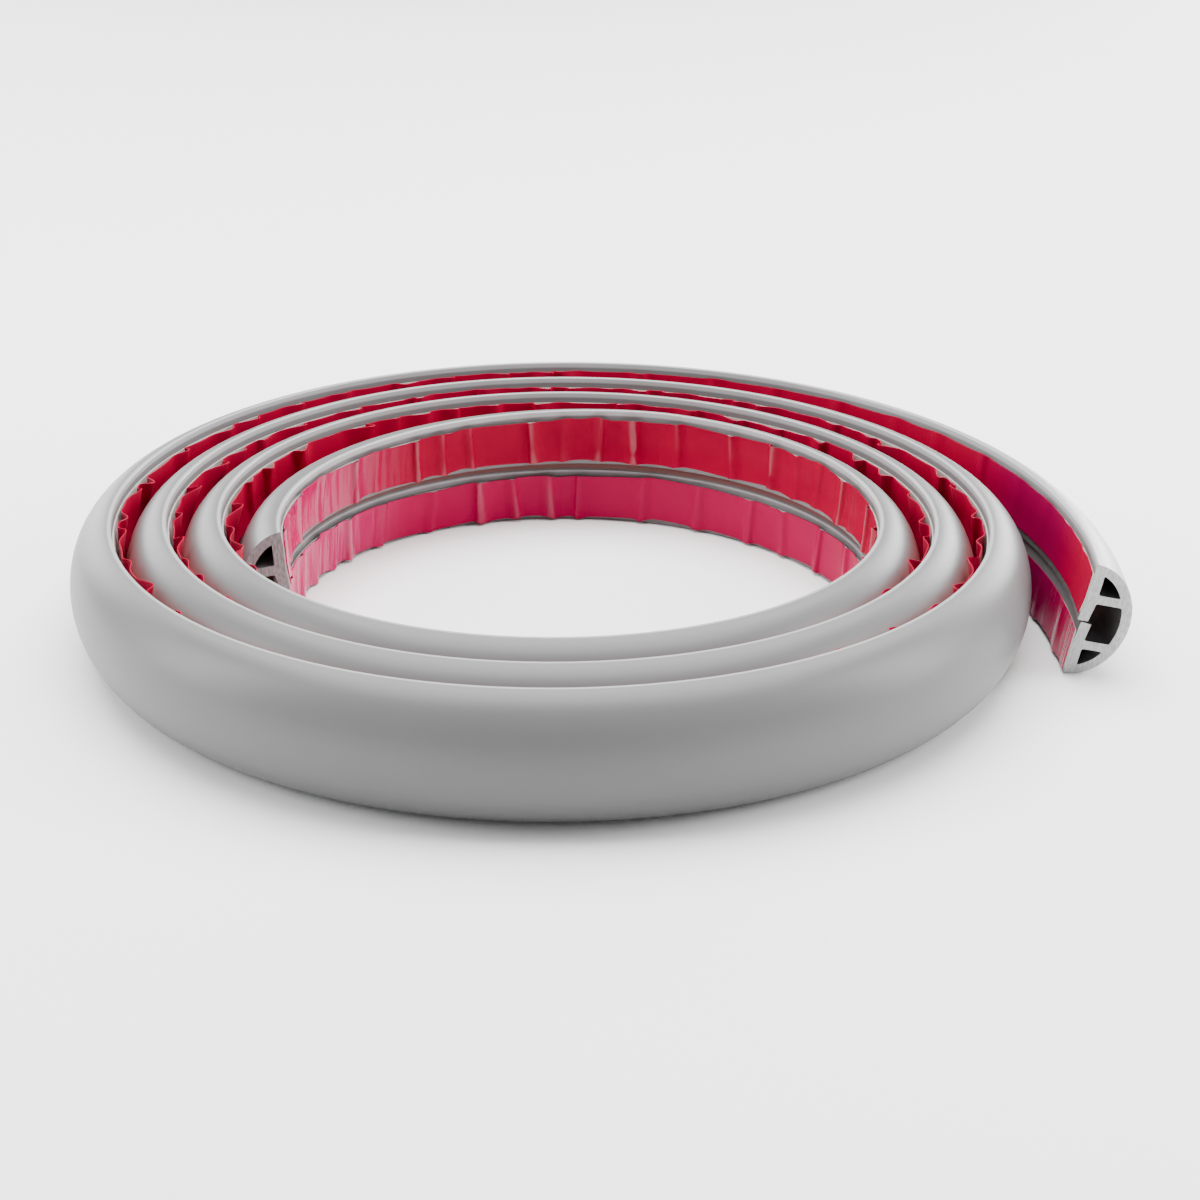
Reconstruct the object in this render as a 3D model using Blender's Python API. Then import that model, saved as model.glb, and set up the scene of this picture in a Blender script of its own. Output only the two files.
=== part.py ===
"""Self-adhesive flexible cable channel for floors, wound on edge into an open spiral.

The channel is one PVC extrusion of D section: a dome, a flat base slit along its middle, and two webs
that leave a cable cavity and two small side hollows. In the coil the base stands upright and faces the
centre. Two adhesive tapes lie on the base, each under its own release liner, and the liners are folded
because they are on the inside of the bend.

A section is drawn in two coordinates: out, from the base towards the top of the dome, and up, across
the base from its lower edge to its upper edge. It is extruded from station to station along the spiral.
"""

import math
import random

import bmesh
import bpy
from mathutils import Matrix, Vector

# Section of the extrusion, in metres
WIDTH = 0.0300
HEIGHT = 0.0112
DOME_WALL = 0.0023
BASE_WALL = 0.0024
WEB = 0.0023
UPPER_WEB_UP = 0.0209
LOWER_WEB_UP = 0.0084
SLIT_UP = 0.0146
SLIT = 0.0010
UPPER_FLAP_BEND = 0.0006
LOWER_FLAP_SET = 0.0004
DOME_STEPS = 10
CAVITY_STEPS = 4
HOLLOW_STEPS = 2

# Adhesive tapes and release liners, in metres
CLEARANCE = 0.00025
TAPE_THICKNESS = 0.00025
LINER_THICKNESS = 0.00015
UPPER_TAPE = (0.0171, 0.0273)
LOWER_TAPE = (0.0016, 0.0118)
LINER_OVERHANG = 0.0003

# Winding: angles are in degrees and grow from the inner end, clockwise from above, starting at -X
FIRST_ANGLE = -18
LAST_ANGLE = 1265
STATION_STEP = 12
INTEGRATION_STEP = 1
INNER_RADIUS = 0.0658
TURN_PITCH = 0.0126
OVAL = -0.0028
THREE_LOBE = 0.0020
TAIL_ANGLE = 1194
TAIL_OPENING = 0.118
OUTER_CUT_SLANT = 13

# Lean of the strip, in degrees, with its upper edge outward of its lower one
COIL_LEAN = 3.9
INNER_END_TWIST = -11.0
INNER_END_REACH = 110
OUTER_END_LEAN = 5.5
OUTER_END_REACH = 1060

# Folds of the liners, one on each stretch between two stations
FOLD_SEED = 7
FOLD_HEIGHT = (0.0007, 0.0021)
FOLD_HALF_LENGTH = (0.0012, 0.0026)
FOLD_PLACE = (0.32, 0.68)

PVC_GREY = (0.40, 0.40, 0.40, 1.0)
TAPE_WHITE = (0.72, 0.70, 0.66, 1.0)
LINER_RED = (0.52, 0.005, 0.035, 1.0)


def clear_scene():
    for thing in list(bpy.data.objects):
        bpy.data.objects.remove(thing, do_unlink=True)


def make_material(name, colour, roughness):
    material = bpy.data.materials.new(name)
    material.use_nodes = True
    shader = material.node_tree.nodes["Principled BSDF"]
    shader.inputs["Base Color"].default_value = colour
    shader.inputs["Roughness"].default_value = roughness
    shader.inputs["Metallic"].default_value = 0.0
    return material


def ramp(value, low, high):
    """0 up to low, 1 from high on, and a straight line between them."""
    return min(max((value - low) / (high - low), 0.0), 1.0)


def bend_radius(angle):
    """Radius of curvature of the base, which grows by the turn pitch each turn and opens at the tail."""
    turn = math.radians(angle)
    radius = INNER_RADIUS + TURN_PITCH * angle / 360
    radius += OVAL * math.sin(2 * turn) + THREE_LOBE * math.cos(3 * turn)
    return radius + TAIL_OPENING * (max(0.0, angle - TAIL_ANGLE) / 100) ** 2


def lean_at(angle):
    """Lean of the strip in radians."""
    inner = INNER_END_TWIST * math.sin(math.pi * ramp(angle, FIRST_ANGLE, INNER_END_REACH))
    outer = OUTER_END_LEAN * ramp(angle, OUTER_END_REACH, LAST_ANGLE) ** 2
    return math.radians(COIL_LEAN + inner + outer)


def lift_at(lean):
    """How far the leaning strip's lower corner rises so that its dome still touches the floor."""
    if lean <= 0:
        return 0.0
    half = WIDTH / 2 * math.cos(lean)
    return math.hypot(HEIGHT * math.sin(lean), half) - half


def station_frame(angle, x, y):
    """Matrix from section coordinates (out, up, along) to the coil."""
    turn = math.radians(angle)
    lean = lean_at(angle)
    outward = Vector((-math.cos(turn), math.sin(turn), 0))
    upright = Vector((0, 0, 1))
    out = outward * math.cos(lean) - upright * math.sin(lean)
    up = outward * math.sin(lean) + upright * math.cos(lean)
    along = Vector((math.sin(turn), math.cos(turn), 0))
    frame = Matrix((out, up, along)).transposed().to_4x4()
    frame.translation = (x, y, lift_at(lean))
    return frame


def wind_stations():
    """Frames along the spiral, found by adding up short steps in the direction of the tangent."""
    x, y = -INNER_RADIUS, 0.0
    frames = []
    for angle in range(FIRST_ANGLE, LAST_ANGLE + 1, INTEGRATION_STEP):
        if (angle - FIRST_ANGLE) % STATION_STEP == 0 or angle == LAST_ANGLE:
            frames.append(station_frame(angle, x, y))
        middle = angle + INTEGRATION_STEP / 2
        turn = math.radians(middle)
        step = bend_radius(middle) * math.radians(INTEGRATION_STEP)
        x += step * math.sin(turn)
        y += step * math.cos(turn)
    frames[-1] = frames[-1] @ slanted_cut()
    return frames


def slanted_cut():
    """Shear that sets the lower edge of the outer end's cut back from its upper edge."""
    shear = Matrix.Identity(4)
    slope = math.tan(math.radians(OUTER_CUT_SLANT))
    shear[2][1] = slope
    shear[2][3] = -slope * WIDTH
    return shear


def ellipse_run(depth, half, start, stop, steps):
    """Points of a half ellipse on the base's middle line, from one height up the base to another."""
    first = math.asin((start - WIDTH / 2) / half)
    last = math.asin((stop - WIDTH / 2) / half)
    angles = [first + (last - first) * i / steps for i in range(steps + 1)]
    return [(depth * math.cos(t), WIDTH / 2 + half * math.sin(t)) for t in angles]


def inner_run(start, stop, steps):
    """Points along the inside of the dome."""
    return ellipse_run(HEIGHT - DOME_WALL, WIDTH / 2 - DOME_WALL, start, stop, steps)


def channel_outline():
    """Dome, base, flaps and cable cavity as one loop, because the slit opens the cavity."""
    cavity_low = LOWER_WEB_UP + WEB / 2
    cavity_high = UPPER_WEB_UP - WEB / 2
    slit_low = SLIT_UP - SLIT / 2
    slit_high = SLIT_UP + SLIT / 2
    dome = ellipse_run(HEIGHT, WIDTH / 2, WIDTH, 0, DOME_STEPS)
    lower_flap = [
        (0, LOWER_WEB_UP),
        (LOWER_FLAP_SET, slit_low),
        (LOWER_FLAP_SET + BASE_WALL, slit_low),
        (BASE_WALL, cavity_low),
    ]
    cavity = inner_run(cavity_low, cavity_high, CAVITY_STEPS)
    upper_flap = [
        (BASE_WALL, cavity_high),
        (BASE_WALL - UPPER_FLAP_BEND, slit_high),
        (-UPPER_FLAP_BEND, slit_high),
        (0, UPPER_WEB_UP),
    ]
    return dome + lower_flap + cavity + upper_flap


def side_hollow(web_face, side):
    """A three-cornered hollow between a web, the base and the dome; side is 1 above and -1 below."""
    reach = math.sqrt(1 - (BASE_WALL / (HEIGHT - DOME_WALL)) ** 2)
    tip = WIDTH / 2 + side * (WIDTH / 2 - DOME_WALL) * reach
    return [(BASE_WALL, web_face)] + inner_run(web_face, tip, HOLLOW_STEPS)


def base_out(up):
    """Where the base's face lies: flat below the slit, and bent towards the coil's centre just above it."""
    if up < SLIT_UP:
        return 0.0
    return -UPPER_FLAP_BEND * ramp(-up, -UPPER_WEB_UP, -(SLIT_UP + SLIT / 2))


def strip_outline(low, high, near, thickness):
    """A thin strip in front of the base, near being its clearance from the base at both edges."""
    inner_low = base_out(low) - near
    inner_high = base_out(high) - near
    return [
        (inner_low, low),
        (inner_high, high),
        (inner_high - thickness, high),
        (inner_low - thickness, low),
    ]


def between(first, last, share):
    """A frame part of the way along the straight stretch between two stations."""
    return first * (1 - share) + last * share


def raised(frame, still_edge, free_edge, height):
    """The frame with a fold's height sheared in: none at the still edge and all at the free one."""
    shear = Matrix.Identity(4)
    slope = -height / (free_edge - still_edge)
    shear[0][1] = slope
    shear[0][3] = -slope * still_edge
    return frame @ shear


def folded_frames(frames, still_edge, free_edge, seed):
    """The stations with one pinched fold on each stretch between two of them."""
    chance = random.Random(seed)
    result = [frames[0]]
    for first, last in zip(frames, frames[1:]):
        length = (last.translation - first.translation).length
        place = chance.uniform(*FOLD_PLACE)
        half = chance.uniform(*FOLD_HALF_LENGTH) / length
        height = chance.uniform(*FOLD_HEIGHT)
        crest = between(first, last, place)
        result.append(between(first, last, place - half))
        result.append(raised(crest, still_edge, free_edge, height))
        result.append(between(first, last, place + half))
        result.append(last)
    return result


def draw_loop(bm, points, height):
    """A closed loop of edges in section coordinates, with each corner's height kept in a layer.

    Corners at one height are told apart by a thousandth of how far out they are.
    """
    verts = [bm.verts.new((out, up, 0)) for out, up in points]
    for vert in verts:
        vert[height] = vert.co.y + vert.co.x / 1000
    return [bm.edges.new((verts[i - 1], verts[i])) for i in range(len(verts))]


def split_sides(verts, height):
    """Split each new side quad from its lower corner behind to its upper corner in front.

    All pieces are split the same way, so that thin ones keep their clearance where the strip twists.
    """
    front = set(verts)
    sides = dict.fromkeys(face for vert in verts for face in vert.link_faces if len(face.verts) == 4)
    for face in sides:
        behind = [vert for vert in face.verts if vert not in front]
        ahead = [vert for vert in face.verts if vert in front]
        lower = min(behind, key=lambda vert: vert[height])
        upper = max(ahead, key=lambda vert: vert[height])
        bmesh.utils.face_split(face, lower, upper)


def extrude_along(name, loops, frames, collection, material):
    """Fill the section, then extrude its face from each frame to the next."""
    bm = bmesh.new()
    height = bm.verts.layers.float.new("height")
    edges = [edge for points in loops for edge in draw_loop(bm, points, height)]
    bmesh.ops.triangle_fill(bm, use_beauty=True, edges=edges)
    bmesh.ops.transform(bm, matrix=frames[0], verts=bm.verts)
    region = bm.verts[:] + bm.edges[:] + bm.faces[:]
    for before, after in zip(frames, frames[1:]):
        region = bmesh.ops.extrude_face_region(bm, geom=region)["geom"]
        verts = [item for item in region if isinstance(item, bmesh.types.BMVert)]
        bmesh.ops.transform(bm, matrix=after @ before.inverted(), verts=verts)
        split_sides(verts, height)
    bm.verts.layers.float.remove(height)
    bmesh.ops.recalc_face_normals(bm, faces=bm.faces[:])
    mesh = bpy.data.meshes.new(name)
    bm.to_mesh(mesh)
    bm.free()
    mesh.shade_smooth()
    mesh.set_sharp_from_angle(angle=math.radians(35))
    mesh.materials.append(material)
    obj = bpy.data.objects.new(name, mesh)
    collection.objects.link(obj)
    return obj


def make_channel(frames, collection):
    hollows = [
        side_hollow(UPPER_WEB_UP + WEB / 2, 1),
        side_hollow(LOWER_WEB_UP - WEB / 2, -1),
    ]
    grey = make_material("pvc_grey", PVC_GREY, 0.42)
    return extrude_along("channel_extrusion", [channel_outline()] + hollows, frames, collection, grey)


def make_tape(name, edges, frames, collection, material):
    outline = strip_outline(edges[0], edges[1], CLEARANCE, TAPE_THICKNESS)
    return extrude_along(name, [outline], frames, collection, material)


def make_liner(name, edges, free_side, seed, frames, collection, material):
    """A liner a little wider than its tape, folded most at the side away from the slit."""
    low = edges[0] - LINER_OVERHANG
    high = edges[1] + LINER_OVERHANG
    outline = strip_outline(low, high, 2 * CLEARANCE + TAPE_THICKNESS, LINER_THICKNESS)
    still, free = (low, high) if free_side > 0 else (high, low)
    return extrude_along(name, [outline], folded_frames(frames, still, free, seed), collection, material)


def centre_on_floor(objects):
    """Move the meshes so that the middle of the whole box is over the origin and its underside at zero."""
    corners = [vert.co for obj in objects for vert in obj.data.vertices]
    low = Vector(min(co[i] for co in corners) for i in range(3))
    high = Vector(max(co[i] for co in corners) for i in range(3))
    shift = Matrix.Translation(-Vector(((low.x + high.x) / 2, (low.y + high.y) / 2, low.z)))
    for obj in objects:
        obj.data.transform(shift)


def main():
    clear_scene()
    collection = bpy.data.collections.new("flexible_cable_channel")
    bpy.context.scene.collection.children.link(collection)
    frames = wind_stations()
    white = make_material("tape_white", TAPE_WHITE, 0.8)
    red = make_material("liner_red", LINER_RED, 0.18)
    objects = [
        make_channel(frames, collection),
        make_tape("adhesive_strip_upper", UPPER_TAPE, frames, collection, white),
        make_tape("adhesive_strip_lower", LOWER_TAPE, frames, collection, white),
        make_liner("release_liner_upper", UPPER_TAPE, 1, FOLD_SEED, frames, collection, red),
        make_liner("release_liner_lower", LOWER_TAPE, -1, FOLD_SEED + 1, frames, collection, red),
    ]
    centre_on_floor(objects)


main()
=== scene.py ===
"""Dresses the coil of self-adhesive flexible cable channel on its CAD frame.

Each length is modelled straight, with X along the strip, Y out from its flat base and Z up across the
base. It is then wound along one guide curve, which follows the same rule as the solids.
"""

import math
import random
from bisect import bisect_left
from collections import namedtuple

import bmesh
import bpy
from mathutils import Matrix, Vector


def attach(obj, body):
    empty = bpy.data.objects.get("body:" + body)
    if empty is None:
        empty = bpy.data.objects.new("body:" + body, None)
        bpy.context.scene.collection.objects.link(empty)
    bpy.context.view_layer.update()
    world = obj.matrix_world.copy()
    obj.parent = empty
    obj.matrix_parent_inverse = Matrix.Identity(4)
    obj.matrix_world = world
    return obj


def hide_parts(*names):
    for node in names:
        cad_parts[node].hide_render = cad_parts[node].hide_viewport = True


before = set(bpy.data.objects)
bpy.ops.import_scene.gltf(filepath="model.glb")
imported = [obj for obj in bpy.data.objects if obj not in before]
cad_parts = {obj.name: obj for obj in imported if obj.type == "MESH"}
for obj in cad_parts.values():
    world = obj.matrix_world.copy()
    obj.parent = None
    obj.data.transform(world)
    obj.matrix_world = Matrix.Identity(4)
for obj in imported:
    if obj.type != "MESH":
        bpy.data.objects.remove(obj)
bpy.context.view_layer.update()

bl_info = {
    "name": "Coiled Cable Channel",
    "version": (1, 0, 0),
    "blender": (4, 5, 0),
    "location": "View3D > Sidebar > Cable Channel",
    "description": "Models a coil of self-adhesive floor cable channel with its tapes and release liners",
    "category": "Add Mesh",
}

# The winding, as in the solids: angles in degrees from the inner end, clockwise from above
FIRST_ANGLE = -18
LAST_ANGLE = 1265
SOLID_STEP = 12
GUIDE_STEP = 1.0
WINDING_SHIFT = Vector((-0.003375, -0.020502, 0.0))
OVAL = -0.0028
THREE_LOBE = 0.0020
TAIL_ANGLE = 1194
TAIL_OPENING = 0.118
COIL_LEAN = 3.9
INNER_END_TWIST = -11.0
INNER_END_REACH = 110
OUTER_END_LEAN = 5.5
OUTER_END_REACH = 1060

# The section, in metres and degrees: the slit and webs are placed up the base from its lower corner
SLIT_UP = 0.0146
UPPER_WEB_UP = 0.0209
LOWER_WEB_UP = 0.0084
UPPER_FLAP_BEND = 0.0006
LOWER_FLAP_SET = 0.0004
CUT_SLANT = 13.0
OVAL_SIDES = 88
CORNER_ANGLE = 25
HOLLOW_ROUND = 0.0005
SLIT_ROUND = 0.00025
SLIT_MARGIN = 0.0004
SLIT_BEYOND = 0.0008
TIP_REACH = 0.001
NEAR = 0.0001

# How far the slit's edges are drawn apart on the first turn and together at the outer end, and where
SLIT_GAPE = 0.0005
SLIT_CLOSING = 0.00028
SLIT_EDGE_REACH = 0.0010
GAPE_ENDS_FROM = 0.7
CLOSING_RUN = (0.25, 0.05)

# Tapes and films: their edges up the base, and how far they stand off it
UPPER_TAPE = (0.0171, 0.0273)
LOWER_TAPE = (0.0016, 0.0118)
TAPE_OUT = 0.00004
TAPE_THICKNESS = 0.00030
FILM_OUT = 0.00042
FILM_THICKNESS = 0.00022
FILM_OVERHANG = 0.0004

# Folds of the films: how far from the ends they stay, and the ranges of their random sizes
FIRST_FOLD = 0.006
LAST_FOLD = 0.004
FOLD_HEIGHTS = (0.4, 1.0)
FOLD_HALVES = (0.7, 1.3)
FOLD_SKEWS = (0.4, 0.95)
FOLD_ARCHES = (0.3, 1.0)
FOLD_SLANT = 0.12
FOLD_BULGES = (0.2, 1.0)
FOLD_GAPS = (0.55, 1.45)
EDGE_BULGE = 0.0006

# Where the folds change: flatter at the front (in degrees), deeper past the first turn, softer at the tail
FRONT_ANGLE = 270
FRONT_REACH = 58
DEEP_FROM = (0.75, 1.05)
LOOSE_UNTIL = (-0.02, 0.01)
TAIL_EASE = 0.06

# Room for the folds, up to the dome of the turn inside them
FIRST_TURN_ROOM = 0.005
TAIL_ROOM = 0.004
NESTED_PITCH = 0.985
DOME_SHIFT = 0.0009
DOME_CLEARANCE = 0.00025

# Colours beside the settings: a change along the strip, the film's cut edge, and painted light among the
# pieces
VIOLET = (0.13, 0.0, 0.045)
FILM_EDGE = (0.85, 0.45, 0.50)
# Painted light: the film on the outer turns is painted brighter, standing for light in the gaps between
# turns
PAINTED_LIGHT_RED = (0.38, 0.0, 0.032)
# Painted reflection: pink painted on the lower film and by the inner end, standing for reflected light and
# sheen
PAINTED_REFLECTION_PINK = (0.42, 0.0, 0.09)
# Painted light: a faint glow emitted in the cavity, standing for light coming into it
CAVITY_GLOW = (0.10, 0.050, 0.046)
# Painted light: red bounce from the films, painted on the domes between the turns
PAINTED_RED_BOUNCE = (0.27, 0.07, 0.07)

# Marks on the strip, in metres: each fades in from its first place to its second
CORNER_OUT = (0.0010, 0.0007)
LIP_OUT = (0.0012, 0.0008)
BOUNCE_UP = (0.0280, 0.0235)
BOUNCE_OUT = (0.001, 0.002)
BOUNCE_START = (0.0, 0.03)
CAVITY_FLOOR = (0.0006, 0.0016)
CAVITY_ROOF = (0.0095, 0.0091)
CAVITY_MOUTH = (0.015, 0.05)
PINCH_OUT = (-0.0009, -0.0024)
CREST_OUT = (-0.0015, -0.0018)
INNER_END_SHEEN = (0.085, 0.045)

# The same, given as distances back from the upper corner, the slit or an end
CORNER_DOWN = (0.0016, 0.0010)
LIP_FOOT = (0.0018, 0.0012)
LIP_TOP = (0.0, 0.0005)
CAVITY_SIDE = (0.0056, 0.0046)
LOWER_FILM_DOWN = (-0.001, 0.001)
BOUNCE_STOP = (0.0, 0.06)
TAIL_SHEEN = (0.16, 0.09)
VIOLET_START = (0.09, 0.055)
VIOLET_STOP = (0.04, 0.012)
STREAKS_START = (0.07, 0.03)

# The stage, in metres and degrees
SIDE_BOX = (0.35, 0.6)
RIM_BOX = (0.5, 0.5)
TOP_BOX = (1.3, 1.1)
CAMERA_PLACE = (0.00208, -0.57987, 0.24898)
CAMERA_DIP = 22.88

Fold = namedtuple("Fold", "place half height skew slant bulge before after arch")


def metres(name, description, default):
    return bpy.props.FloatProperty(
        name=name, description=description, default=default, precision=5, subtype="DISTANCE", unit="LENGTH"
    )


def colour(name, description, default):
    return bpy.props.FloatVectorProperty(
        name=name, description=description, default=default, size=3, min=0, max=1, subtype="COLOR"
    )


def power(name, description, default):
    return bpy.props.FloatProperty(name=name, description=description, default=default, min=0, unit="POWER")


class ChannelSettings(bpy.types.PropertyGroup):
    """Sizes and colours of the grey extrusion."""

    width: metres("Width", "Width of the flat base", 0.0300)
    height: metres("Height", "Height of the dome over the base", 0.0112)
    dome_wall: metres("Dome Wall", "Thickness of the dome", 0.0023)
    base_wall: metres("Base Wall", "Thickness of the base", 0.0024)
    web: metres("Web", "Thickness of the two inner webs", 0.0023)
    slit: metres("Slit", "Width of the slit in the base", 0.0010)
    edge_round: metres("Edge Rounding", "Rounding where the dome meets the base", 0.00038)
    slices: bpy.props.IntProperty(
        name="Slices", description="Slices along the wound length", default=400, min=50
    )
    grey: colour("PVC Grey", "Colour of the extrusion's skin", (0.126, 0.126, 0.1275))
    cut_grey: colour("Cut Grey", "Colour of the freshly cut ends", (0.42, 0.42, 0.417))


class CoilSettings(bpy.types.PropertyGroup):
    """How the strip is wound."""

    inner_radius: metres("Inner Radius", "Radius of the bend at the inner end", 0.0658)
    turn_pitch: metres("Turn Pitch", "Distance from one turn to the next", 0.0126)


class LinerSettings(bpy.types.PropertyGroup):
    """The tapes, and the folds of the release films over them."""

    seed: bpy.props.IntProperty(name="Seed", description="Seed of the folds", default=11)
    spacing: metres("Fold Spacing", "Usual distance between two folds", 0.0150)
    arch: metres("Arch", "How far the film's free edge arches off the base between two folds", 0.0015)
    fold_height: metres("Fold Height", "How far a full fold stands off the base", 0.0056)
    fold_half: metres("Fold Half Width", "Half the width of a usual fold", 0.0019)
    drift: metres("Panel Drift", "How far the film's edges step up or down at a fold", 0.0004)
    step: metres("Film Step", "Length of one face along the film", 0.0005)
    film_red: colour("Film Red", "Colour of the release film", (0.25, 0.0, 0.021))
    tape_white: colour("Tape White", "Colour of the adhesive tape", (0.5, 0.48, 0.45))


class StageSettings(bpy.types.PropertyGroup):
    """Floor, lights and camera."""

    floor: colour("Floor", "Colour of the floor", (0.93, 0.93, 0.93))
    world: bpy.props.FloatProperty(
        name="Surround", description="Brightness of the white surround", default=0.5, min=0
    )
    side_light: power("Side Light", "Power of the right side softbox", 9.0)
    rim_light: power("Rim Light", "Power of the right softbox behind", 14.0)
    top_light: power("Top Light", "Power of the softbox overhead", 46.0)
    lens: bpy.props.FloatProperty(
        name="Lens", description="Focal length on a 36 mm sensor", default=78.9, min=1, unit="CAMERA"
    )


def activate(obj):
    bpy.ops.object.select_all(action="DESELECT")
    obj.select_set(True)
    bpy.context.view_layer.objects.active = obj


def start_edit(obj):
    activate(obj)
    bpy.ops.object.mode_set(mode="EDIT")


def choose(obj, kind, test):
    """In edit mode, select only the vertices, edges or faces that pass the test."""
    bpy.ops.mesh.select_mode(type=kind)
    bpy.ops.mesh.select_all(action="DESELECT")
    mesh = bmesh.from_edit_mesh(obj.data)
    items = {"VERT": mesh.verts, "EDGE": mesh.edges, "FACE": mesh.faces}[kind]
    for item in items:
        if test(item):
            item.select_set(True)
    mesh.select_flush_mode()
    bmesh.update_edit_mesh(obj.data)


def end_edit():
    bpy.ops.object.mode_set(mode="OBJECT")


def apply_modifier(obj, kind, **settings):
    activate(obj)
    modifier = obj.modifiers.new(kind.title(), kind)
    for key, value in settings.items():
        setattr(modifier, key, value)
    bpy.ops.object.modifier_apply(modifier=modifier.name)


def cut_plane(length, top):
    """A point of the outer end's slanted cut, and the direction in which it faces."""
    slant = math.radians(CUT_SLANT)
    return (length, 0, top), (math.cos(slant), 0, -math.sin(slant))


def trim(obj, place, away, close=True):
    """Cut the mesh along a plane and drop what lies on the side that away points to."""
    start_edit(obj)
    bpy.ops.mesh.select_all(action="SELECT")
    bpy.ops.mesh.bisect(plane_co=place, plane_no=away, clear_outer=True, use_fill=close, threshold=1e-6)
    end_edit()


def ramp(value, low, high):
    return min(max((value - low) / (high - low), 0.0), 1.0)


def smooth_ramp(value, low, high):
    share = ramp(value, low, high)
    return share * share * (3 - 2 * share)


def bend_radius(coil, angle):
    """Radius of curvature of the base, which grows by the turn pitch each turn and opens at the tail."""
    turn = math.radians(angle)
    radius = coil.inner_radius + coil.turn_pitch * angle / 360
    radius += OVAL * math.sin(2 * turn) + THREE_LOBE * math.cos(3 * turn)
    return radius + TAIL_OPENING * (max(0.0, angle - TAIL_ANGLE) / 100) ** 2


def lean_at(angle):
    """Lean of the strip in radians, its upper edge outward."""
    inner = INNER_END_TWIST * math.sin(math.pi * ramp(angle, FIRST_ANGLE, INNER_END_REACH))
    outer = OUTER_END_LEAN * ramp(angle, OUTER_END_REACH, LAST_ANGLE) ** 2
    return math.radians(COIL_LEAN + inner + outer)


def lift_at(channel, lean):
    """How far the leaning strip's lower corner rises so that its dome still touches the floor."""
    if lean <= 0:
        return 0.0
    half = channel.width / 2 * math.cos(lean)
    return math.hypot(channel.height * math.sin(lean), half) - half


def winding(channel, coil):
    """Angle, place and lean along the lower corner of the base.

    The whole winding is drawn in a little, as far as the solids' flat facets lie inside the true bend.
    """
    facet = math.cos(math.radians(SOLID_STEP / 2))
    x, y = -coil.inner_radius, 0.0
    points = []
    for count in range(round((LAST_ANGLE - FIRST_ANGLE) / GUIDE_STEP) + 1):
        angle = FIRST_ANGLE + count * GUIDE_STEP
        lean = lean_at(angle)
        place = (Vector((x, y, 0)) + WINDING_SHIFT) * facet
        place.z = lift_at(channel, lean)
        points.append((angle, place, lean))
        middle = angle + GUIDE_STEP / 2
        step = bend_radius(coil, middle) * math.radians(GUIDE_STEP)
        x += step * math.sin(math.radians(middle))
        y += step * math.cos(math.radians(middle))
    return points


def running_lengths(points):
    """Length along the guide from the inner end to each of its points."""
    lengths = [0.0]
    for before, after in zip(points, points[1:]):
        lengths.append(lengths[-1] + (after[1] - before[1]).length)
    return lengths


def length_to(points, angle):
    """Length along the guide from the inner end to a winding angle."""
    return max(length for length, point in zip(running_lengths(points), points) if point[0] <= angle)


class Strip:
    """The guide's points, and lengths along it that the pieces share.

    These are its whole length, the end of the first turn, the last place with a turn outside it and the
    place where the tail starts to open.
    """

    def __init__(self, scene):
        self.points = winding(scene.cable_channel, scene.cable_coil)
        self.length = length_to(self.points, LAST_ANGLE)
        self.first_turn = length_to(self.points, FIRST_ANGLE + 360)
        self.nested = length_to(self.points, LAST_ANGLE - 360)
        self.tail = length_to(self.points, TAIL_ANGLE)

    def guide(self):
        """A curve object through the points, tilted by the lean."""
        curve = bpy.data.curves.new("winding_guide", "CURVE")
        curve.dimensions = "3D"
        curve.twist_mode = "Z_UP"
        spline = curve.splines.new("POLY")
        spline.points.add(len(self.points) - 1)
        for target, (_, place, lean) in zip(spline.points, self.points):
            target.co = (*place, 1)
            target.tilt = -lean
        guide = bpy.data.objects.new("winding_guide", curve)
        bpy.context.scene.collection.objects.link(guide)
        return guide


def wind(obj, guide):
    """Keep each point's straight place for the materials, then bend the mesh along the guide."""
    mesh = obj.data
    straight = mesh.attributes.new("straight", "FLOAT_VECTOR", "POINT")
    for vert, item in zip(mesh.vertices, straight.data):
        item.vector = vert.co
    apply_modifier(obj, "CURVE", object=guide, deform_axis="POS_X")


def discard(*objects):
    for obj in objects:
        bpy.data.objects.remove(obj, do_unlink=True)


def half_oval(channel, depth, half, low, high):
    """An oval rod along X on the middle line of the base."""
    bpy.ops.object.select_all(action="DESELECT")
    bpy.ops.mesh.primitive_cylinder_add(
        vertices=OVAL_SIDES,
        radius=1,
        depth=high - low,
        location=((low + high) / 2, 0, channel.width / 2),
        rotation=(0, math.pi / 2, 0),
    )
    rod = bpy.context.object
    bpy.ops.object.transform_apply(location=False, rotation=True, scale=False)
    rod.scale = (1, depth, half)
    bpy.ops.object.transform_apply(location=True, rotation=False, scale=True)
    return rod


def runs_along(edge):
    span = edge.verts[1].co - edge.verts[0].co
    return abs(span.x) > 0.9 * span.length


def is_corner(edge):
    if not runs_along(edge) or len(edge.link_faces) != 2:
        return False
    return edge.calc_face_angle(0) > math.radians(CORNER_ANGLE)


def hollow_cutter(channel, low, high, slice_length):
    """The space between two webs, or between a web and the tip of the dome, with rounded corners."""
    wall = channel.dome_wall
    half = channel.width / 2 - wall
    cutter = half_oval(channel, channel.height - wall, half, -slice_length, 2 * slice_length)
    trim(cutter, (0, channel.base_wall, 0), (0, -1, 0))
    trim(cutter, (0, 0, low), (0, 0, -1))
    trim(cutter, (0, 0, high), (0, 0, 1))
    start_edit(cutter)
    choose(cutter, "EDGE", is_corner)
    bpy.ops.mesh.bevel(offset=HOLLOW_ROUND, segments=3, affect="EDGES")
    end_edit()
    return cutter


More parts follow.
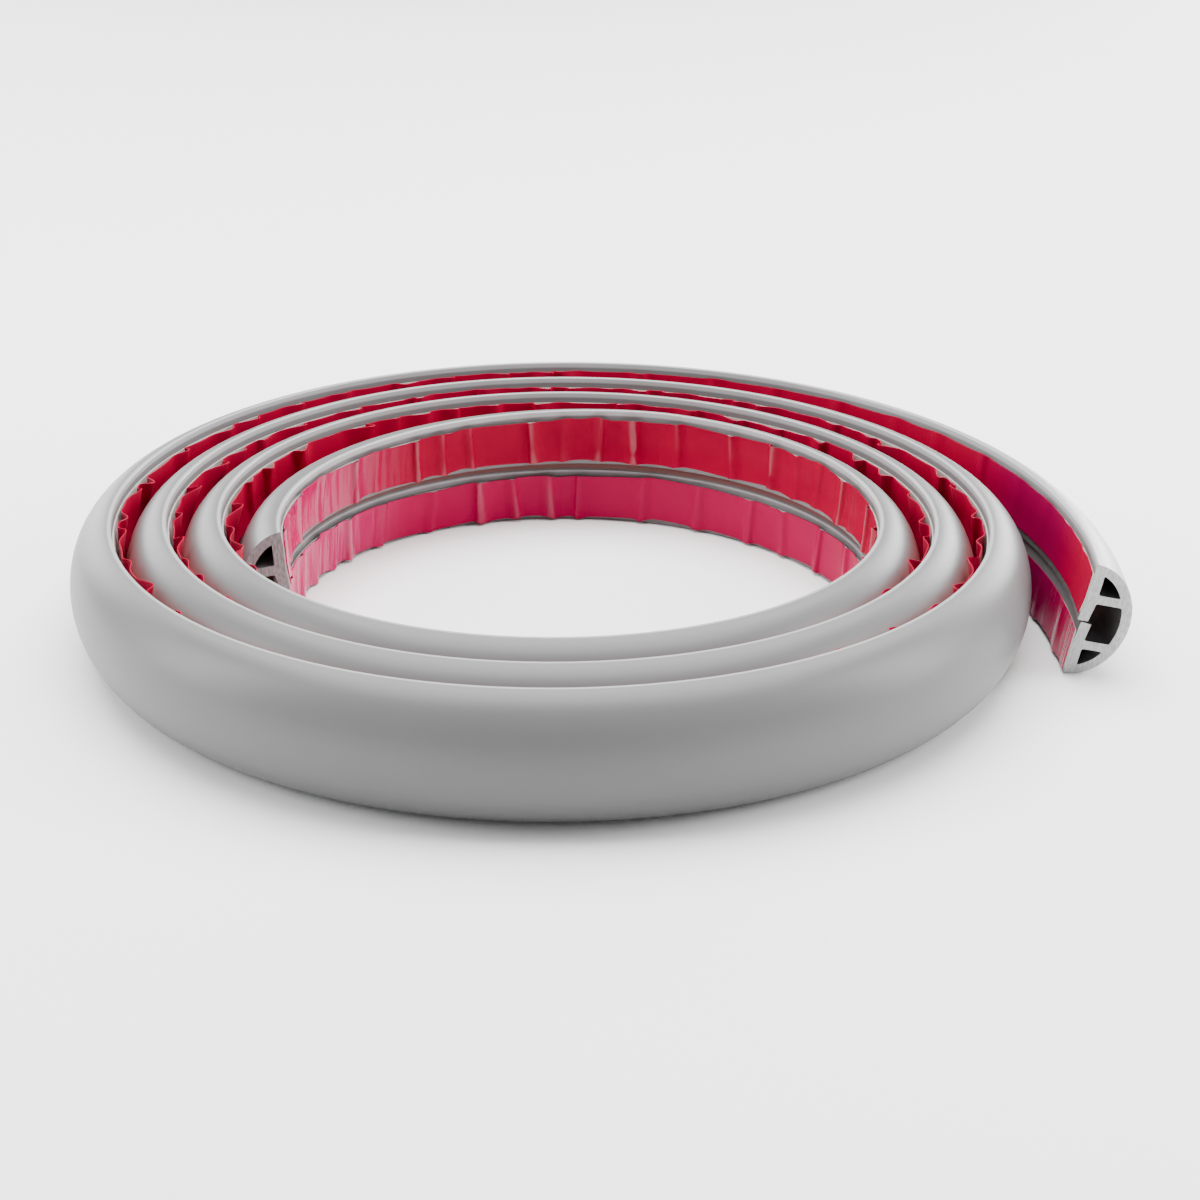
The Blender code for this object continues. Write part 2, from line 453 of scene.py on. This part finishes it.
def slit_cutter(channel, slice_length):
    """A block that goes beyond both faces of the base."""
    bpy.ops.object.select_all(action="DESELECT")
    bpy.ops.mesh.primitive_cube_add(
        size=1,
        location=(slice_length / 2, channel.base_wall / 2, SLIT_UP),
        scale=(3 * slice_length, channel.base_wall + 2 * SLIT_BEYOND, channel.slit),
    )
    return bpy.context.object


def round_edges(obj, test, offset, segments):
    start_edit(obj)
    choose(obj, "EDGE", lambda edge: is_corner(edge) and test(edge.verts[0].co))
    bpy.ops.mesh.bevel(offset=offset, segments=segments, affect="EDGES")
    end_edit()


def push(obj, test, shift):
    start_edit(obj)
    choose(obj, "VERT", lambda vert: test(vert.co))
    bpy.ops.transform.translate(value=shift)
    end_edit()


def add_line(obj, up):
    """Cut an edge loop through the whole mesh at a height up the base, and keep both sides."""
    start_edit(obj)
    bpy.ops.mesh.select_all(action="SELECT")
    bpy.ops.mesh.bisect(plane_co=(0, 0, up), plane_no=(0, 0, 1), threshold=1e-6)
    end_edit()


def faces_end(face):
    places = [vert.co.x for vert in face.verts]
    return max(places) - min(places) < 1e-6


def repeat_slice(obj, slice_length, slices):
    """Keep only the outline at the slice's first end, and extrude it into one open tube along X."""
    start_edit(obj)
    choose(obj, "FACE", faces_end)
    bpy.ops.mesh.delete(type="FACE")
    choose(obj, "VERT", lambda vert: vert.co.x > 1e-6)
    bpy.ops.mesh.delete(type="VERT")
    bpy.ops.mesh.select_all(action="SELECT")
    bpy.ops.mesh.extrude_region_move(TRANSFORM_OT_translate={"value": (slice_length, 0, 0)})
    end_edit()
    apply_modifier(
        obj,
        "ARRAY",
        count=slices,
        use_relative_offset=False,
        use_constant_offset=True,
        constant_offset_displace=(slice_length, 0, 0),
        use_merge_vertices=True,
        merge_threshold=0.00001,
    )


def close_end(obj, test):
    """Fill the open section at one end."""
    start_edit(obj)
    choose(obj, "EDGE", lambda edge: edge.is_boundary and test(edge.verts[0].co))
    bpy.ops.mesh.fill(use_beauty=True)
    end_edit()


def cut_ends(obj, length, top):
    """Trim the outer end along the slanted cut, and close both ends."""
    trim(obj, *cut_plane(length, top), close=False)
    close_end(obj, lambda co: co.x < length / 2)
    close_end(obj, lambda co: co.x > length / 2)
    start_edit(obj)
    bpy.ops.mesh.select_all(action="SELECT")
    bpy.ops.mesh.normals_make_consistent(inside=False)
    end_edit()


def finish(obj, name, materials, node, crease=32):
    """Name the piece, shade it, give it its materials and let it stand for its solid."""
    obj.name = name
    obj.data.name = name
    activate(obj)
    bpy.ops.object.shade_smooth_by_angle(angle=math.radians(crease))
    for material in materials:
        obj.data.materials.append(material)
    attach(obj, "root")
    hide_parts(node)


class Value:
    """A node's output that takes part in Python sums, each of which adds its Math node."""

    def __init__(self, look, socket):
        self.look = look
        self.socket = socket

    def __add__(self, other):
        return self.look.maths("ADD", self, other)

    def __sub__(self, other):
        return self.look.maths("SUBTRACT", self, other)

    def __rsub__(self, other):
        return self.look.maths("SUBTRACT", other, self)

    def __mul__(self, other):
        return self.look.maths("MULTIPLY", self, other)

    __radd__ = __add__
    __rmul__ = __mul__


class Look:
    """One procedural material under construction."""

    def __init__(self, name, base, roughness, **fixed):
        self.material = bpy.data.materials.new(name)
        self.material.use_nodes = True
        self.tree = self.material.node_tree
        self.shader = self.tree.nodes["Principled BSDF"]
        self.material.diffuse_color = (*base, 1)
        self.set("Base Color", (*base, 1))
        self.set("Roughness", roughness)
        for key, value in fixed.items():
            self.set(key.replace("_", " "), value)

    def set(self, socket, value):
        self.give(self.shader.inputs[socket], value)

    def give(self, socket, value):
        if isinstance(value, Value):
            self.tree.links.new(value.socket, socket)
        else:
            socket.default_value = value

    def node(self, kind, settings, inputs, output=0):
        """Add a node: its settings first, then the values or links of its sockets."""
        node = self.tree.nodes.new(kind)
        for key, value in settings.items():
            if key == "stops":
                for stop, (place, tone) in zip(node.color_ramp.elements, value):
                    stop.position = place
                    stop.color = (tone, tone, tone, 1)
            else:
                setattr(node, key, value)
        for key, value in inputs.items():
            self.give(node.inputs[key], value)
        return Value(self, node.outputs[output])

    def maths(self, operation, first, second):
        return self.node("ShaderNodeMath", {"operation": operation}, {0: first, 1: second})

    def straight(self, scale):
        """The point's place on the straight strip, stretched by a scale for each axis."""
        place = self.node("ShaderNodeAttribute", {"attribute_name": "straight"}, {}, "Vector")
        return self.node("ShaderNodeVectorMath", {"operation": "MULTIPLY"}, {0: place, 1: scale})

    def noise(self, scale, detail=2.0):
        vector = self.straight(scale)
        return self.node("ShaderNodeTexNoise", {}, {"Vector": vector, "Scale": 1.0, "Detail": detail})

    def stops(self, value, *stops):
        return self.node("ShaderNodeValToRGB", {"stops": stops}, {"Fac": value})

    def rise(self, axis, low, high):
        """From 0 to 1 between two places along one axis of the straight strip."""
        place = self.straight((1, 1, 1))
        part = self.node("ShaderNodeSeparateXYZ", {}, {0: place}, axis)
        inputs = {"Value": part, "From Min": low, "From Max": high}
        return self.node("ShaderNodeMapRange", {"interpolation_type": "SMOOTHSTEP"}, inputs)

    def below(self, axis, edge, depths):
        """From 0 to 1 between two places, each given as its distance back from an edge."""
        return self.rise(axis, edge - depths[0], edge - depths[1])

    def blend(self, share, first, second):
        settings = {"data_type": "RGBA", "clamp_factor": True}
        first, second = (tone if isinstance(tone, Value) else (*tone, 1) for tone in (first, second))
        return self.node("ShaderNodeMix", settings, {0: share, 6: first, 7: second}, 2)

    def bump(self, height, strength, distance):
        inputs = {"Height": height, "Strength": strength, "Distance": distance}
        self.set("Normal", self.node("ShaderNodeBump", {}, inputs))


def shade(tone, factor):
    return tuple(min(1.0, part * factor) for part in tone)


def pvc_skin(channel, strip):
    """Satin grey PVC with faint streaks, soft clouding and a fine orange-peel.

    Its upper corner and, on the first turn, the lip under the slit are painted paler as painted highlights.
    A painted red bounce from the films lies on it between the turns, its tail has a faint gloss, and a
    painted glow, emitted in the cavity, stands for light coming into it.
    """
    fixed = {"IOR": 1.5, "Specular_IOR_Level": 0.32, "Coat_Roughness": 0.35, "Emission_Strength": 1.0}
    look = Look("grey_pvc_skin", channel.grey, 0.42, **fixed)
    streak = look.noise((6, 900, 900), 3)
    cloud = look.noise((45, 45, 45), 2)
    peel = look.noise((1500, 1500, 1500), 1)
    mix = streak * 0.5 + cloud * 0.5
    # Painted highlights: a pale line along the upper corner and along the lip under the slit
    corner = look.rise("Y", *CORNER_OUT) * look.below("Z", channel.width, CORNER_DOWN)
    lip = look.below("Z", SLIT_UP, LIP_FOOT) * look.below("Z", SLIT_UP, LIP_TOP)
    lip = lip * look.rise("Y", *LIP_OUT) * look.rise("X", strip.first_turn, 0.9 * strip.first_turn)
    # Painted light: where the skin faces a film between the turns, a red bounce is painted on it
    between = look.rise("X", *BOUNCE_START) * look.below("X", strip.nested, BOUNCE_STOP)
    facing_film = between * look.rise("Z", *BOUNCE_UP) * look.rise("Y", *BOUNCE_OUT)
    plain = look.blend(mix, shade(channel.grey, 0.96), shade(channel.grey, 1.04))
    skin = look.blend(facing_film * 0.8, plain, PAINTED_RED_BOUNCE)
    # The corner and lip masks paint their highlights by blending towards a much paler grey
    look.set("Base Color", look.blend(corner * 0.9 + lip * 0.6, skin, shade(channel.grey, 2.8)))
    look.set("Roughness", 0.34 + cloud * 0.05 + streak * 0.05 - corner * 0.18)
    look.set("Coat Weight", look.below("X", strip.length, TAIL_SHEEN) * 0.6)
    look.bump(streak * 0.6 + peel * 0.4, 0.12, 0.00006)
    # Painted light: a faint glow the skin emits deep in the cavity beside the slit
    deep = look.rise("Y", *CAVITY_FLOOR) * look.rise("Y", *CAVITY_ROOF)
    far, close = CAVITY_SIDE
    beside = look.below("Z", SLIT_UP, CAVITY_SIDE) * look.rise("Z", SLIT_UP + far, SLIT_UP + close)
    between_ends = look.rise("X", *CAVITY_MOUTH) * look.below("X", strip.length, CAVITY_MOUTH)
    look.set("Emission Color", look.blend(deep * beside * between_ends, (0, 0, 0), CAVITY_GLOW))
    return look.material


def pvc_cut(channel, strip):
    """The sawn ends, matt with fine lines from the blade: pale at the outer end, painted darker as painted
    shade at the inner one.
    """
    look = Look("grey_pvc_cut", channel.cut_grey, 0.6, IOR=1.45)
    lines = look.stops(look.noise((200, 2200, 700), 3), (0.38, 0.0), (0.62, 1.0))
    outer_end = look.rise("X", 0.0, strip.length)
    spots = look.noise((900, 900, 900), 2)
    pale = look.blend(lines, shade(channel.cut_grey, 0.8), shade(channel.cut_grey, 1.15))
    # Painted shade: the inner end's cut is painted darker
    painted_shade_cut = look.blend(lines, shade(channel.cut_grey, 0.38), shade(channel.cut_grey, 0.6))
    look.set("Base Color", look.blend(outer_end, painted_shade_cut, pale))
    look.set("Roughness", 0.5 + spots * 0.2)
    look.bump(lines, 0.35, 0.0001)
    return look.material


def film(liner, strip):
    """Crimson release film, violet at the tail. The outer turns are painted brighter, as painted light in
    the gaps, and below the slit and by the inner end it is painted pink, as a painted reflection and sheen.
    """
    fixed = {"IOR": 1.5, "Specular_IOR_Level": 0.02, "Coat_Roughness": 0.06}
    look = Look("crimson_release_film", liner.film_red, 0.2, **fixed)
    wrinkle = look.noise((420, 60, 45), 3)
    fine = look.noise((1400, 200, 90), 2)
    haze = look.noise((60, 60, 120), 2)
    pinched = look.rise("Y", *PINCH_OUT)
    crest = look.rise("Y", *CREST_OUT) * look.rise("X", strip.first_turn, 0.95 * strip.first_turn)
    inner_end = look.rise("X", *INNER_END_SHEEN)
    outer_end = look.below("X", strip.length, VIOLET_START) - look.below("X", strip.length, VIOLET_STOP)
    lower = look.below("Z", SLIT_UP, LOWER_FILM_DOWN)
    streaked = lower * look.below("X", strip.length, STREAKS_START)
    outer_turns = look.rise("X", 0.75 * strip.first_turn, 1.1 * strip.first_turn)
    gloss = look.stops(look.noise((650, 70, 45), 3), (0.44, 0.12), (0.5, 1.0))
    streaks = look.stops(look.noise((1700, 60, 40), 2), (0.53, 0.0), (0.6, 1.0))
    plain = look.blend(haze, shade(liner.film_red, 0.8), shade(liner.film_red, 1.2))
    # Painted light: the outer turns' film is painted brighter
    with_painted_light = look.blend(outer_turns * 0.6, plain, PAINTED_LIGHT_RED)
    # Painted reflection: pink by the inner end and on the lower film
    with_painted_reflection = look.blend(inner_end * 0.6 + lower * 0.35, with_painted_light, PAINTED_REFLECTION_PINK)
    look.set("Base Color", look.blend(outer_end * 0.6, with_painted_reflection, VIOLET))
    look.set("Roughness", 0.16 + haze * 0.12)
    ends = inner_end * gloss * 0.85 + streaked * streaks
    look.set("Coat Weight", ends + pinched * 0.22 + crest * 0.5 + lower * 0.04)
    look.bump(wrinkle * 0.8 + fine * 0.2, 0.35, 0.00025)
    return look.material


def tape(liner):
    """Matt off-white tape with a fibrous tooth."""
    look = Look("white_adhesive_tape", liner.tape_white, 0.8)
    fibre = look.noise((500, 1500, 1500), 3)
    look.set("Base Color", look.blend(fibre, shade(liner.tape_white, 0.9), shade(liner.tape_white, 1.06)))
    look.set("Roughness", 0.7 + fibre * 0.2)
    look.bump(fibre, 0.3, 0.00008)
    return look.material


def base_out(up):
    """Where the base's face lies: flat below the slit, bent towards the coil's centre just above it."""
    if up < SLIT_UP:
        return 0.0
    return -UPPER_FLAP_BEND * (1 - ramp(up, SLIT_UP + 0.0005, UPPER_WEB_UP))


class CABLE_OT_channel(bpy.types.Operator):
    """Model the grey extrusion with its cavity, hollows and slit, and wind it"""

    bl_idname = "cable.channel"
    bl_label = "Channel Extrusion"

    def execute(self, context):
        channel = context.scene.cable_channel
        strip = Strip(context.scene)
        guide = strip.guide()
        part = strip.length / channel.slices
        body = self.section(channel, part)
        repeat_slice(body, part, channel.slices)
        cut_ends(body, strip.length, channel.width)
        for face in body.data.polygons:
            if abs(face.normal.x) > 0.8:
                face.material_index = 1
        self.gape(body, channel.base_wall + 2 * NEAR, strip)
        wind(body, guide)
        materials = [pvc_skin(channel, strip), pvc_cut(channel, strip)]
        finish(body, "grey_channel", materials, "channel_extrusion")
        discard(guide)
        return {"FINISHED"}

    def section(self, channel, part):
        """One slice of the D section, with its hollows, its slit, its rounded corners and its two flaps."""
        half_web = channel.web / 2
        body = half_oval(channel, channel.height, channel.width / 2, 0, part)
        trim(body, (0, 0, 0), (0, -1, 0))
        cutters = [
            hollow_cutter(channel, LOWER_WEB_UP + half_web, UPPER_WEB_UP - half_web, part),
            hollow_cutter(channel, UPPER_WEB_UP + half_web, channel.width, part),
            hollow_cutter(channel, 0, LOWER_WEB_UP - half_web, part),
            slit_cutter(channel, part),
        ]
        for cutter in cutters:
            apply_modifier(body, "BOOLEAN", object=cutter, operation="DIFFERENCE", solver="EXACT")
        discard(*cutters)
        low, high = TIP_REACH, channel.width - TIP_REACH
        round_edges(body, lambda co: co.y < NEAR and not low < co.z < high, channel.edge_round, 4)
        round_edges(body, lambda co: co.y < NEAR and abs(co.z - SLIT_UP) < channel.slit, SLIT_ROUND, 2)
        add_line(body, UPPER_WEB_UP)
        add_line(body, LOWER_WEB_UP)
        inside = channel.base_wall + 2 * NEAR
        reach = channel.slit / 2 + SLIT_MARGIN
        push(body, lambda co: co.y < inside and SLIT_UP < co.z < SLIT_UP + reach, (0, -UPPER_FLAP_BEND, 0))
        push(body, lambda co: co.y < inside and SLIT_UP - reach < co.z < SLIT_UP, (0, LOWER_FLAP_SET, 0))
        return body

    def gape(self, body, inside, strip):
        """Draw the slit's two edges apart along the tightest turn, and together at the outer end."""
        start, stop = (strip.length - back for back in CLOSING_RUN)
        for vert in body.data.vertices:
            up = vert.co.z - SLIT_UP
            if vert.co.y < inside and abs(up) < SLIT_EDGE_REACH:
                apart = 1 - smooth_ramp(vert.co.x, GAPE_ENDS_FROM * strip.first_turn, strip.first_turn)
                apart = SLIT_GAPE * apart - SLIT_CLOSING * smooth_ramp(vert.co.x, start, stop)
                vert.co.z += math.copysign(apart, up * apart)


class CABLE_OT_tapes(bpy.types.Operator):
    """Lay the two adhesive tapes on the base"""

    bl_idname = "cable.tapes"
    bl_label = "Adhesive Tapes"

    def execute(self, context):
        channel = context.scene.cable_channel
        strip = Strip(context.scene)
        guide = strip.guide()
        part = strip.length / channel.slices
        white = tape(context.scene.cable_liner)
        for name, (low, high) in (("upper", UPPER_TAPE), ("lower", LOWER_TAPE)):
            bpy.ops.object.select_all(action="DESELECT")
            bpy.ops.mesh.primitive_cube_add(
                size=1,
                location=(part / 2, -TAPE_OUT - TAPE_THICKNESS / 2, (low + high) / 2),
                scale=(part, TAPE_THICKNESS, high - low),
            )
            piece = bpy.context.object
            bpy.ops.object.transform_apply(location=True, rotation=False, scale=True)
            if low > SLIT_UP:
                add_line(piece, UPPER_WEB_UP)
                push(piece, lambda co, low=low: co.z < low + NEAR, (0, base_out(low), 0))
            repeat_slice(piece, part, channel.slices)
            cut_ends(piece, strip.length, channel.width)
            wind(piece, guide)
            finish(piece, "white_tape_" + name, [white], "adhesive_strip_" + name)
        discard(guide)
        return {"FINISHED"}


def scatter_folds(liner, strip, seed):
    """Seeded folds: soft panels on the first turn, deep waves further out, low at the front and tail."""
    chance = random.Random(seed)
    lengths = running_lengths(strip.points)
    start, stop = (share * strip.first_turn for share in DEEP_FROM)
    place = FIRST_FOLD
    folds = []
    while place < lengths[-1] - LAST_FOLD:
        angle = strip.points[bisect_left(lengths, place)][0] % 360
        nested = math.exp(-((angle - FRONT_ANGLE) / FRONT_REACH) ** 2)
        outer = smooth_ramp(place, start, stop)
        ease = 1 - 0.85 * smooth_ramp(place, strip.tail - TAIL_EASE, strip.tail)
        height = liner.fold_height * chance.uniform(*FOLD_HEIGHTS) * (0.28 + 0.72 * outer)
        height = height * (1 - 0.9 * nested) * ease
        half = liner.fold_half * chance.uniform(*FOLD_HALVES) * (0.7 + 0.45 * outer)
        skew = chance.choice((-1, 1, 1)) * chance.uniform(*FOLD_SKEWS)
        drift = liner.drift * (1 - 0.65 * outer) * ease
        before, after = (drift * chance.uniform(-1, 1) for _ in range(2))
        arch = liner.arch * chance.uniform(*FOLD_ARCHES) * (0.2 + 0.8 * outer) * (1 - 0.8 * nested) * ease
        slant = chance.uniform(-FOLD_SLANT, FOLD_SLANT)
        bulge = chance.uniform(*FOLD_BULGES)
        folds.append(Fold(place, half, height, skew, slant, bulge, before, after, arch))
        place += liner.spacing * chance.uniform(*FOLD_GAPS) * (0.85 + 0.15 * outer)
    return folds


def drift_at(folds, near, along):
    """Step of the film's edges: each panel runs from one fold to the next, and each fold changes it."""
    if not 0 < near < len(folds):
        return 0.0
    last, following = folds[near - 1], folds[near]
    step = smooth_ramp(along, last.place - last.half, last.place + last.half)
    start = last.before + (last.after - last.before) * step
    panel = smooth_ramp(along, last.place + last.half, following.place)
    return start + (following.before - start) * panel


class CABLE_OT_liners(bpy.types.Operator):
    """Model the two release films with their pinched folds"""

    bl_idname = "cable.liners"
    bl_label = "Release Liners"

    def execute(self, context):
        channel = context.scene.cable_channel
        liner = context.scene.cable_liner
        strip = Strip(context.scene)
        guide = strip.guide()
        materials = [film(liner, strip), Look("pale_film_edge", FILM_EDGE, 0.5).material]
        films = (("upper", UPPER_TAPE, 1, liner.seed), ("lower", LOWER_TAPE, -1, liner.seed + 5))
        room = self.room_rule(channel, context.scene.cable_coil.turn_pitch, strip)
        for name, (low, high), side, seed in films:
            low, high = low - FILM_OVERHANG, high + FILM_OVERHANG
            sheet = self.flat_film(strip.length, low, high, liner.step)
            self.buckle(sheet, low, high, side, scatter_folds(liner, strip, seed), strip, room)
            trim(sheet, *cut_plane(strip.length, channel.width), close=False)
            apply_modifier(sheet, "SOLIDIFY", thickness=FILM_THICKNESS, offset=1.0, material_offset_rim=1)
            wind(sheet, guide)
            finish(sheet, "red_liner_" + name, materials, "release_liner_" + name, 75)
        discard(guide)
        return {"FINISHED"}

    def flat_film(self, length, low, high, step):
        """A fine flat sheet standing on the strip's X and Z axes."""
        bpy.ops.object.select_all(action="DESELECT")
        bpy.ops.mesh.primitive_grid_add(
            x_subdivisions=round(length / step),
            y_subdivisions=8,
            size=1,
            location=(length / 2, 0, (low + high) / 2),
            rotation=(math.pi / 2, 0, 0),
        )
        sheet = bpy.context.object
        sheet.scale = (length, high - low, 1)
        bpy.ops.object.transform_apply(location=True, rotation=True, scale=True)
        return sheet

    def room_rule(self, channel, pitch, strip):
        """A function that gives the free space between the film and the dome of the turn inside it."""
        half = channel.width / 2
        gap = pitch * NESTED_PITCH - FILM_OUT - FILM_THICKNESS - DOME_CLEARANCE

        def room(along, up):
            if along < strip.first_turn:
                return FIRST_TURN_ROOM
            offset = ramp(up + DOME_SHIFT - half, -half, half) * 2 - 1
            dome = channel.height * math.sqrt(max(0.0, 1 - offset * offset))
            tail = TAIL_ROOM * smooth_ramp(along, strip.tail, strip.tail + TAIL_EASE)
            return max(NEAR, gap + base_out(up) - dome) + tail

        return room

    def buckle(self, sheet, low, high, side, folds, strip, room):
        """Raise the folds, each leaning to one side along the strip and bulging the film's free edge."""
        places = [fold.place for fold in folds]
        still, free = (low, high) if side > 0 else (high, low)
        middle = (low + high) / 2
        start, stop = (strip.first_turn + shift for shift in LOOSE_UNTIL)
        for vert in sheet.data.vertices:
            along, up = vert.co.x, vert.co.z
            across = ramp((up - still) / (free - still), 0, 1)
            loose = 1 - smooth_ramp(along, start, stop)
            foot = 0.12 + 0.6 * loose
            share = foot + (1 - foot) * across ** 0.8
            near = bisect_left(places, along)
            rise = shift = bulge = 0.0
            for fold in folds[max(0, near - 2):near + 2]:
                gap = (along - fold.place - fold.slant * (up - middle)) / fold.half
                hump = fold.height * share * math.exp(-gap * gap)
                rise += hump
                shift += fold.skew * hump
                bulge += fold.bulge * math.exp(-gap * gap / 2.5)
            if 0 < near < len(places):
                span = (along - places[near - 1]) / (places[near] - places[near - 1])
                rise += folds[near].arch * math.sin(math.pi * span) * across ** 1.5
            limit = 0.9 * room(along, up)
            kept = limit * math.tanh(rise / limit)
            vert.co.x = min(max(along + shift * kept / max(rise, 1e-9), 0.0), strip.length)
            vert.co.y = base_out(up) - FILM_OUT - kept
            vert.co.z = up + side * EDGE_BULGE * bulge * (across ** 3 - 0.35 * (1 - across) ** 3 * loose)
            vert.co.z += drift_at(folds, near, along)
        sheet.data.update()


class CABLE_OT_stage(bpy.types.Operator):
    """Set the pale floor, the soft studio light and the camera"""

    bl_idname = "cable.stage"
    bl_label = "Studio"

    def execute(self, context):
        stage = context.scene.cable_stage
        bpy.ops.object.select_all(action="DESELECT")
        bpy.ops.mesh.primitive_plane_add(size=6, location=(0, 0, 0))
        floor = bpy.context.object
        floor.name = "floor"
        bpy.ops.object.transform_apply(location=True, rotation=True, scale=True)
        floor.data.materials.append(Look("pale_floor", stage.floor, 0.75).material)
        world = bpy.data.worlds.new("studio")
        context.scene.world = world
        world.use_nodes = True
        background = world.node_tree.nodes["Background"]
        background.inputs["Color"].default_value = (1, 1, 1, 1)
        background.inputs["Strength"].default_value = stage.world
        self.softbox("left_softbox", (-0.8, -0.05, 0.35), SIDE_BOX, stage.side_light * 0.8)
        self.softbox("right_softbox", (0.8, -0.05, 0.35), SIDE_BOX, stage.side_light)
        self.softbox("left_rim_softbox", (-0.72, 0.95, 0.28), RIM_BOX, stage.rim_light / 2)
        self.softbox("right_rim_softbox", (0.72, 0.95, 0.28), RIM_BOX, stage.rim_light)
        self.softbox("top_softbox", (0, 0.3, 1.0), TOP_BOX, stage.top_light)
        turn = (math.radians(90 - CAMERA_DIP), 0, 0)
        bpy.ops.object.camera_add(location=CAMERA_PLACE, rotation=turn)
        camera = bpy.context.object
        camera.data.lens = stage.lens
        camera.data.sensor_width = 36
        camera.data.clip_start = 0.01
        context.scene.camera = camera
        return {"FINISHED"}

    def softbox(self, name, place, size, watts):
        """A rectangular light that faces the middle of the floor."""
        bpy.ops.object.light_add(type="AREA", location=place)
        light = bpy.context.object
        light.name = name
        light.rotation_euler = (-Vector(place)).to_track_quat("-Z", "Y").to_euler()
        light.data.shape = "RECTANGLE"
        light.data.size, light.data.size_y = size
        light.data.energy = watts


class CABLE_PT_panel(bpy.types.Panel):
    """Lists the coil's pieces and settings"""

    bl_label = "Cable Channel"
    bl_idname = "CABLE_PT_panel"
    bl_space_type = "VIEW_3D"
    bl_region_type = "UI"
    bl_category = "Cable Channel"

    def draw(self, context):
        for name in SETTINGS:
            group = getattr(context.scene, name)
            box = self.layout.box()
            box.label(text=name.replace("_", " ").title())
            for key in group.__annotations__:
                box.prop(group, key)
        for operator in OPERATORS:
            self.layout.operator(operator.bl_idname)


SETTINGS = {
    "cable_channel": ChannelSettings,
    "cable_coil": CoilSettings,
    "cable_liner": LinerSettings,
    "cable_stage": StageSettings,
}
OPERATORS = (CABLE_OT_stage, CABLE_OT_channel, CABLE_OT_tapes, CABLE_OT_liners)


def register():
    for group in SETTINGS.values():
        bpy.utils.register_class(group)
    for operator in OPERATORS:
        bpy.utils.register_class(operator)
    bpy.utils.register_class(CABLE_PT_panel)
    for name, group in SETTINGS.items():
        setattr(bpy.types.Scene, name, bpy.props.PointerProperty(type=group))


def unregister():
    for name in SETTINGS:
        delattr(bpy.types.Scene, name)
    bpy.utils.unregister_class(CABLE_PT_panel)
    for operator in reversed(OPERATORS):
        bpy.utils.unregister_class(operator)
    for group in reversed(SETTINGS.values()):
        bpy.utils.unregister_class(group)


def main():
    register()
    bpy.ops.cable.stage()
    bpy.ops.cable.channel()
    bpy.ops.cable.tapes()
    bpy.ops.cable.liners()


if __name__ == "__main__":
    main()
